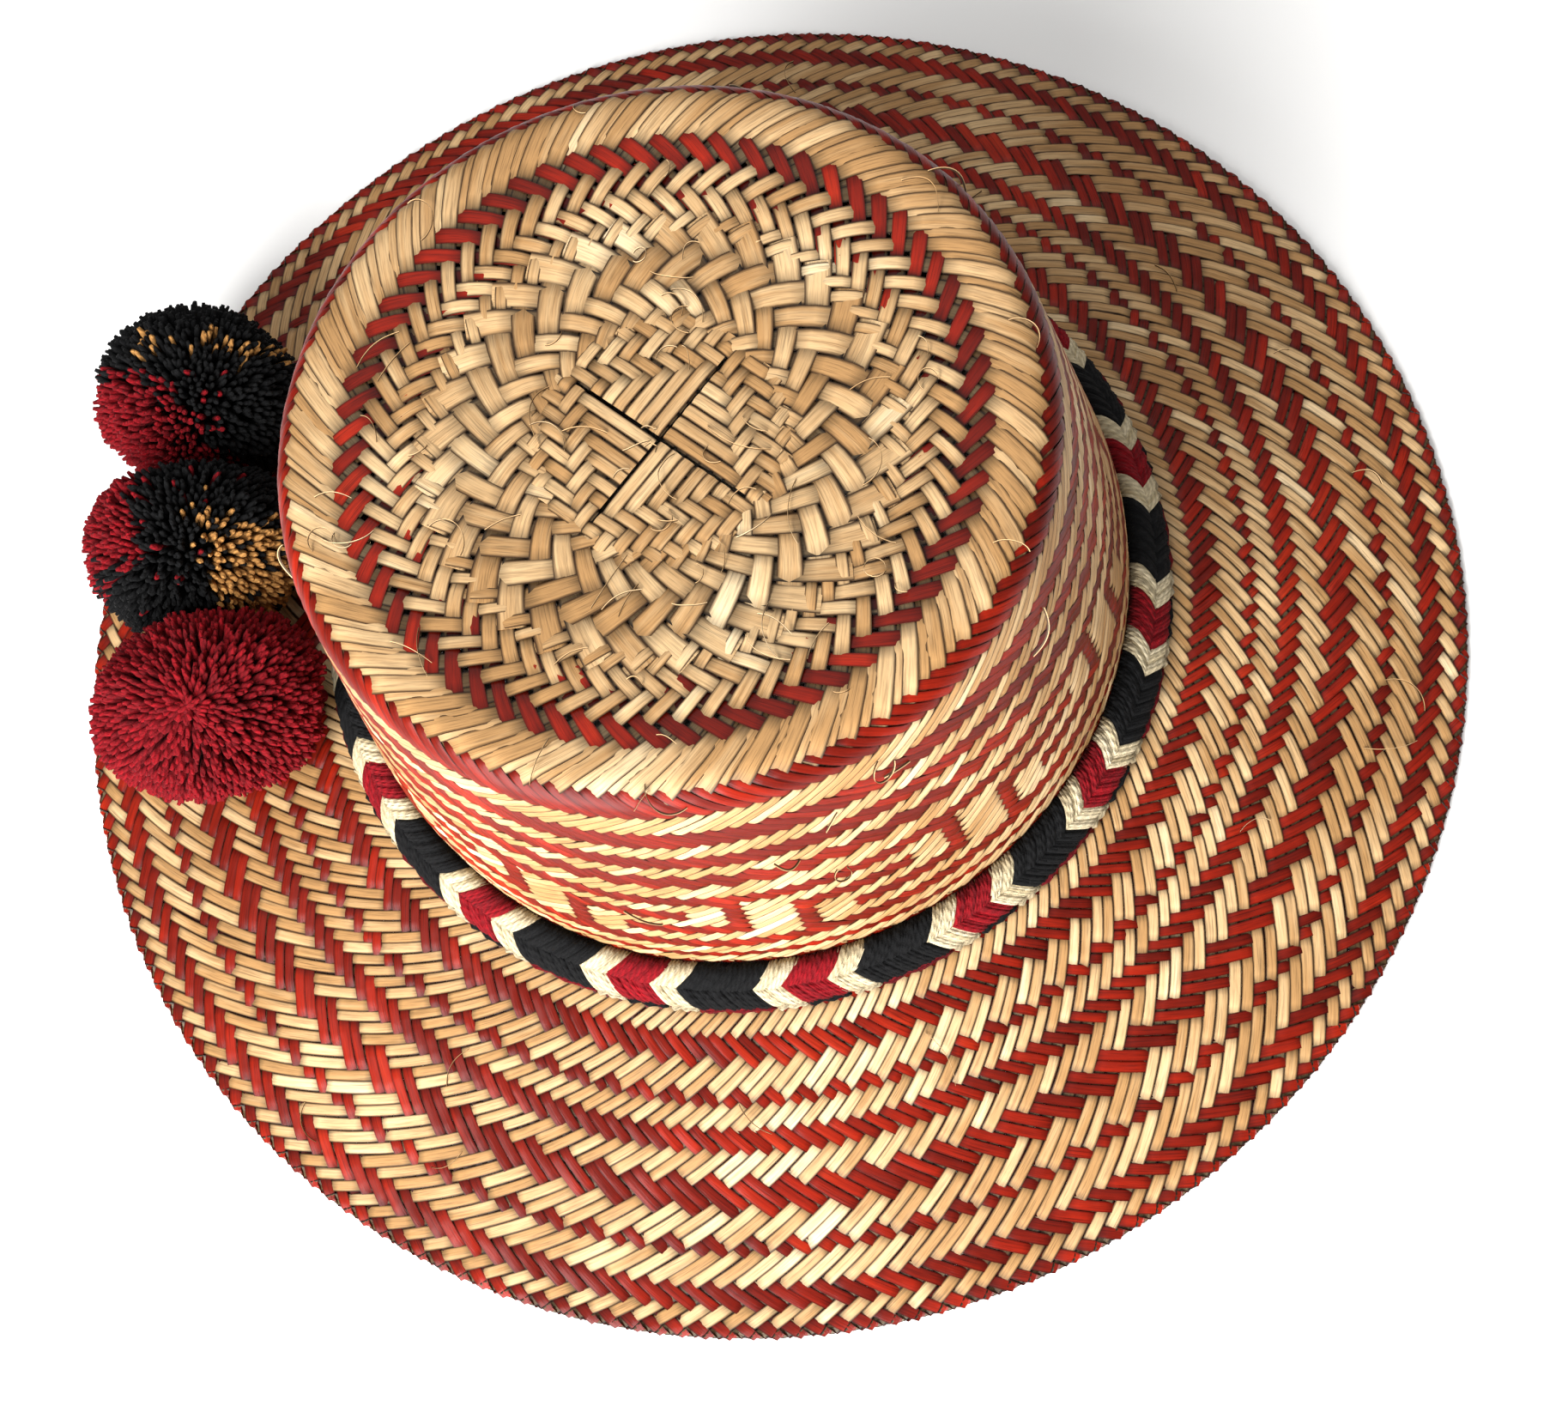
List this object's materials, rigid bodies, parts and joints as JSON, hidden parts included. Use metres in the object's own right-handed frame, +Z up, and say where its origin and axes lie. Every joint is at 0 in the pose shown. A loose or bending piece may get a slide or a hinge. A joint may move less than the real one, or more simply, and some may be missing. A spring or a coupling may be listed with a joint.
{
  "type": "plaited palm hat",
  "caption": "Round palm-splint hat with a flat crown, broad drooping brim, fret pattern in dyed red, braided wool band and wool pompoms at one side.",
  "frame": {"origin": "on the crown's axis, in the plane that the brim's edge rests on", "axes": "+Z up through the crown top; the pompoms lie on the -X side, the front pompom towards -Y"},
  "size_m": [0.35, 0.35, 0.132],
  "materials": {
    "palm_natural": "plaited natural palm splints, satin, fine lengthwise grain",
    "palm_inner": "back of the palm plait, duller",
    "palm_dyed": "palm splints dyed brick red, slight sheen",
    "wool_black": "black wool yarn, matt",
    "wool_ecru": "undyed ecru wool yarn, matt",
    "wool_red": "crimson wool yarn, matt and fuzzy",
    "wool_tan": "tan wool yarn, matt"
  },
  "bodies": {
    "hat": {"crown_tip_ground": "palm_inner", "shoulder_ground": "palm_inner", "crown_wall_ground": "palm_inner", "crown_foot_ground": "palm_inner", "brim_ground": "palm_inner", "start_cross": "palm_natural", "tip_field": "palm_natural", "tip_red_course": "palm_dyed", "tip_long_course": "palm_natural", "shoulder_course": "palm_dyed", "wall_natural_courses": "palm_natural", "wall_red_courses": "palm_dyed", "fret_natural": "palm_natural", "fret_red": "palm_dyed", "foot_natural_courses": "palm_natural", "foot_red_courses": "palm_dyed", "brim_natural_courses": "palm_natural", "brim_red_courses": "palm_dyed", "brim_wide_natural": "palm_natural", "brim_wide_red": "palm_dyed", "brim_edge": "palm_dyed"},
    "band": {"band_black": "wool_black", "band_ecru": "wool_ecru", "band_red": "wool_red"},
    "front_pompom": {"pompom_front_tuft": "wool_red", "pompom_front_tie": "wool_black"},
    "middle_pompom": {"pompom_middle_red": "wool_red", "pompom_middle_black": "wool_black", "pompom_middle_tan": "wool_tan", "pompom_middle_tie": "wool_black"},
    "back_pompom": {"pompom_back_red": "wool_red", "pompom_back_black": "wool_black", "pompom_back_tan": "wool_tan", "pompom_back_tie": "wool_black"}
  },
  "joints": [
    {"name": "band_turn", "type": "hinge", "parent": "hat", "child": "band", "pos_m": [0, 0, 0.034], "axis": [0, 0, 1], "continuous": true},
    {"name": "front_pompom_lift", "type": "hinge", "parent": "band", "child": "front_pompom", "pos_m": [-0.10456, -0.023, 0.02894], "axis": [-0.2148, 0.9767, 0], "range_deg": [0, 25]},
    {"name": "middle_pompom_lift", "type": "hinge", "parent": "band", "child": "middle_pompom", "pos_m": [-0.10637, 0.01212, 0.02894], "axis": [0.1132, 0.9936, 0], "range_deg": [0, 25]},
    {"name": "back_pompom_lift", "type": "hinge", "parent": "band", "child": "back_pompom", "pos_m": [-0.09879, 0.04125, 0.02894], "axis": [0.3854, 0.9228, 0], "range_deg": [0, 25]}
  ]
}
